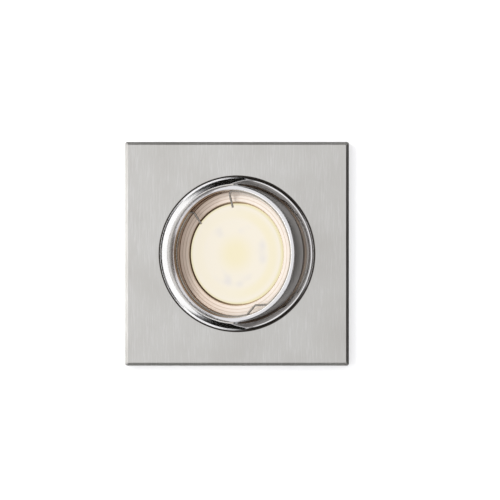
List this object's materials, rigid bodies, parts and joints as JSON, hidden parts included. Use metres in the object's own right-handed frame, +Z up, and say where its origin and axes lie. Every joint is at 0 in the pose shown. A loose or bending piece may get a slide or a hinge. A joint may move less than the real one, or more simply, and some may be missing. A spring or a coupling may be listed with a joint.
{
  "type": "recessed downlight",
  "caption": "Square brushed recessed downlight with a polished bezel, a tilting ring with a wire circlip, a lit GU10 LED lamp and sprung clips that hold it in a ceiling.",
  "frame": {"origin": "centre of the ceiling cut-out, in the plane of the plate's rear rim that lies on the ceiling", "axes": "+Z up into the ceiling, light shines towards -Z; the ring tilts about Y; +X is the picture's right and -Y its up"},
  "size_m": [0.09, 0.09, 0.0806],
  "materials": {
    "brushed_nickel": "brushed",
    "chrome": "polished",
    "spring_steel": "bright drawn",
    "zinc_steel": "zinc plated",
    "white_plastic": "satin",
    "frosted_lens": "frosted, lit",
    "board_aluminium": "white solder mask",
    "led_package": "phosphor",
    "circuit_board": "solder mask",
    "component_black": "moulded",
    "base_plastic": "satin",
    "nickel_brass": "nickel plated",
    "steatite": "unglazed",
    "contact_brass": "plain",
    "clear_rubber": "soft"
  },
  "bodies": {
    "housing": {"face_plate": "brushed_nickel", "bezel_ring": "chrome", "friction_washers": "spring_steel", "clip_pins": "zinc_steel"},
    "lamp_tilt": {"tilt_ring": "chrome", "pivot_pins": "zinc_steel", "lamp_circlip": "spring_steel", "lamp_housing": "white_plastic", "lamp_lens": "frosted_lens", "led_board": "board_aluminium", "led_chips": "led_package", "led_board_screws": "zinc_steel", "driver_board": "circuit_board", "driver_components": "component_black", "lamp_base": "base_plastic", "lamp_pins": "nickel_brass"},
    "lampholder": {"lampholder_body": "steatite", "lampholder_cover": "steatite", "lampholder_contacts": "contact_brass", "lampholder_screws": "zinc_steel"},
    "clip_right": {"clip_arm_right": "spring_steel", "clip_pad_right": "clear_rubber", "clip_spring_right": "spring_steel"},
    "clip_left": {"clip_arm_left": "spring_steel", "clip_pad_left": "clear_rubber", "clip_spring_left": "spring_steel"}
  },
  "joints": [
    {"name": "ring_tilt", "type": "hinge", "parent": "housing", "child": "lamp_tilt", "pos_m": [0, 0, 0.0025], "axis": [0, 1, 0], "range_deg": [-54, 6]},
    {"name": "lampholder_twist", "type": "hinge", "parent": "lamp_tilt", "child": "lampholder", "pos_m": [0, 0, 0.0025], "axis": [0.4067, 0, 0.9135], "range_deg": [0, 18]},
    {"name": "clip_fold_right", "type": "hinge", "parent": "housing", "child": "clip_right", "pos_m": [0.02194, 0.02194, 0.01273], "axis": [0.7071, -0.7071, 0], "range_deg": [0, 103], "stiffness_Nm_per_rad": 0.06, "springref_deg": -45.84, "deforming": ["clip_spring_right"]},
    {"name": "clip_fold_left", "type": "hinge", "parent": "housing", "child": "clip_left", "pos_m": [-0.02194, -0.02194, 0.01273], "axis": [-0.7071, 0.7071, 0], "range_deg": [0, 103], "stiffness_Nm_per_rad": 0.06, "springref_deg": -45.84, "deforming": ["clip_spring_left"]}
  ]
}
